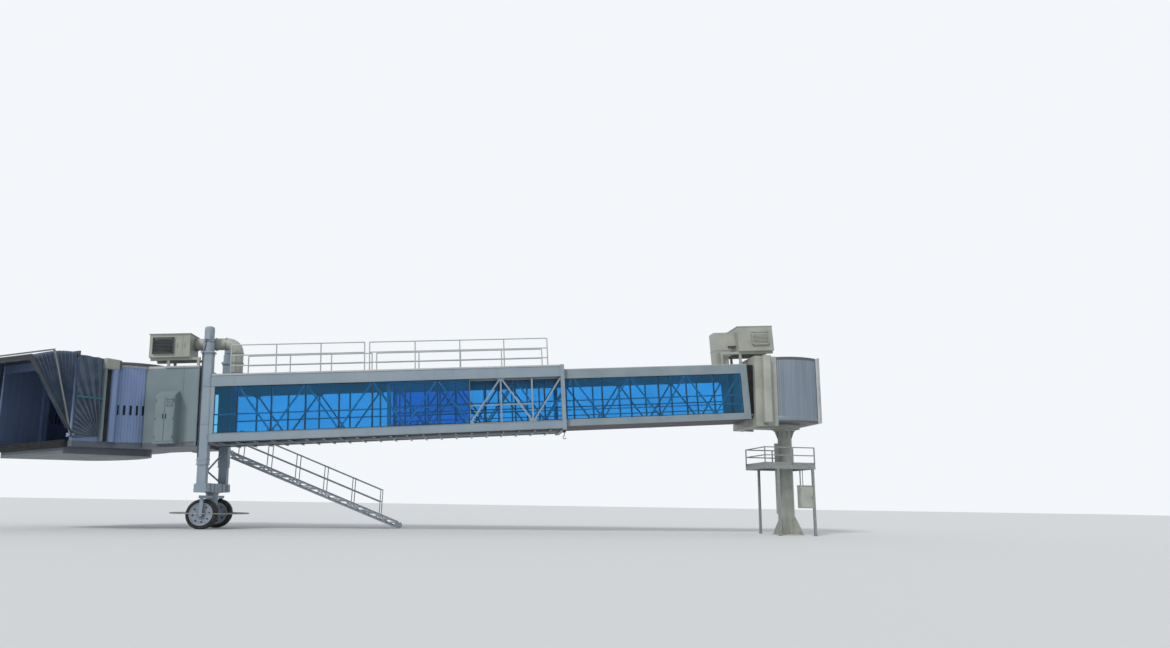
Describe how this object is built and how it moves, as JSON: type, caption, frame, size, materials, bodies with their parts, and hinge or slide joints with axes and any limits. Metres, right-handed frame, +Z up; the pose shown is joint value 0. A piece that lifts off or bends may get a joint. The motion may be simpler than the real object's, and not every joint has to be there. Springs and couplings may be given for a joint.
{
  "type": "jet_bridge",
  "caption": "Telescoping passenger boarding bridge with glazed truss tunnels, wheeled lift drive, turning cab with folding canopy and service stair",
  "frame": {"origin": "On the ground at the middle of the rotunda column base plate, on its underside", "axes": "+Z up; the tunnels run out along -X and fall towards the cab; +X is the terminal side; -Y is the side seen first"},
  "size_m": [30.3326, 7.9495, 8.2813],
  "materials": {
    "steel_blue_grey": "matte",
    "steel_cream": "matte",
    "steel_green_grey": "matte",
    "roof_pale": "matte",
    "steel_dark": "matte",
    "galvanised": "satin",
    "slats_silver": "satin",
    "slats_blue": "satin",
    "floor_dark": "matte",
    "seal_rubber": "matte",
    "tyre_rubber": "matte",
    "tinted_glass": "gloss",
    "canopy_cloth": "matte"
  },
  "bodies": {
    "rotunda_base": {"rotunda_column": "steel_cream", "rotunda_floor": "floor_dark", "rotunda_roof": "steel_blue_grey", "terminal_portal": "steel_blue_grey", "rotunda_curtains": "slats_silver", "service_platform": "galvanised", "power_cabinet": "steel_cream"},
    "swing": {"swing_frame": "steel_cream", "hinge_seal": "seal_rubber"},
    "inner_tunnel": {"inner_floor": "floor_dark", "inner_roof": "roof_pale", "inner_truss_near": "steel_blue_grey", "inner_truss_far": "steel_blue_grey", "inner_glass": "tinted_glass", "rotunda_aircon": "steel_cream"},
    "outer_tunnel": {"outer_floor": "floor_dark", "outer_roof": "roof_pale", "outer_truss_near": "steel_blue_grey", "outer_truss_far": "steel_blue_grey", "outer_glass": "tinted_glass", "mouth_frame": "steel_blue_grey", "roof_railings": "galvanised", "corridor_walls": "steel_green_grey", "corridor_floor": "floor_dark", "corridor_roof": "roof_pale", "control_cabinet": "steel_green_grey", "cab_curtains": "slats_blue", "cab_aircon": "steel_green_grey", "lift_tubes": "steel_blue_grey", "stair_landing": "galvanised"},
    "carriage": {"lift_carriage": "steel_blue_grey"},
    "bogie": {"bogie_frame": "steel_blue_grey", "guard_hoop": "galvanised"},
    "near_wheel": {"wheel_near": "tyre_rubber"},
    "far_wheel": {"wheel_far": "tyre_rubber"},
    "stair": {"stair_flight": "galvanised", "stair_railings": "galvanised"},
    "cab": {"cab_floor": "floor_dark", "cab_roof": "roof_pale", "cab_walls": "steel_green_grey", "cab_bumper": "seal_rubber", "canopy_rear_fold": "canopy_cloth"},
    "canopy_mid": {"canopy_mid_hoop": "galvanised", "canopy_front_fold": "canopy_cloth"},
    "canopy_front": {"canopy_front_hoop": "steel_dark"}
  },
  "joints": [
    {"name": "rotunda_swing", "type": "hinge", "parent": "rotunda_base", "child": "swing", "pos_m": [0, 0, 4.25], "axis": [0, 0, 1], "range_deg": [-60, 60], "deforming": ["rotunda_curtains"]},
    {"name": "tunnel_pitch", "type": "hinge", "parent": "swing", "child": "inner_tunnel", "pos_m": [-1.76, 0, 4.455], "axis": [0, 1, 0], "range_deg": [-1.5, 6], "deforming": ["hinge_seal"]},
    {"name": "tunnel_extend", "type": "slide", "parent": "inner_tunnel", "child": "outer_tunnel", "axis": [-0.9977, 0, -0.068], "range_m": [-6.1, 3.3]},
    {"name": "lift", "type": "slide", "parent": "outer_tunnel", "child": "carriage", "axis": [0.068, 0, -0.9977], "range_m": [-0.54, 2.14]},
    {"name": "bogie_swivel", "type": "hinge", "parent": "carriage", "child": "bogie", "pos_m": [-21.9804, 0, 1.2], "axis": [0, 0, 1], "range_deg": [-90, 90]},
    {"name": "wheel_near_spin", "type": "hinge", "parent": "bogie", "child": "near_wheel", "pos_m": [-21.9804, -0.85, 0.52], "axis": [0, 1, 0], "continuous": true},
    {"name": "wheel_far_spin", "type": "hinge", "parent": "bogie", "child": "far_wheel", "pos_m": [-21.9804, 0.85, 0.52], "axis": [0, 1, 0], "continuous": true},
    {"name": "stair_pitch", "type": "hinge", "parent": "outer_tunnel", "child": "stair", "pos_m": [-22.2728, 2.45, 2.9162], "axis": [0, 1, 0], "range_deg": [-3.3, 12.9]},
    {"name": "cab_swing", "type": "hinge", "parent": "outer_tunnel", "child": "cab", "pos_m": [-25.6346, 0, 2.8274], "axis": [-0.068, 0, 0.9977], "range_deg": [-98.5, 26.5], "deforming": ["cab_curtains"]},
    {"name": "canopy_fold", "type": "hinge", "parent": "cab", "child": "canopy_front", "pos_m": [-26.9068, -2.8411, 2.891], "axis": [0.9114, -0.4067, 0.0621], "range_deg": [-32, 8], "deforming": ["canopy_rear_fold", "canopy_front_fold"]},
    {"name": "canopy_mid_fold", "type": "hinge", "parent": "cab", "child": "canopy_mid", "pos_m": [-26.9068, -2.8411, 2.891], "axis": [0.9114, -0.4067, 0.0621], "range_deg": [-16, 4], "deforming": ["canopy_rear_fold", "canopy_front_fold"]}
  ],
  "couplings": [
    {"joint": "lift", "follows": "tunnel_pitch", "m_per_rad": 20.39},
    {"joint": "stair_pitch", "follows": "tunnel_pitch", "ratio": 2.13},
    {"joint": "canopy_mid_fold", "follows": "canopy_fold", "ratio": 0.5}
  ]
}
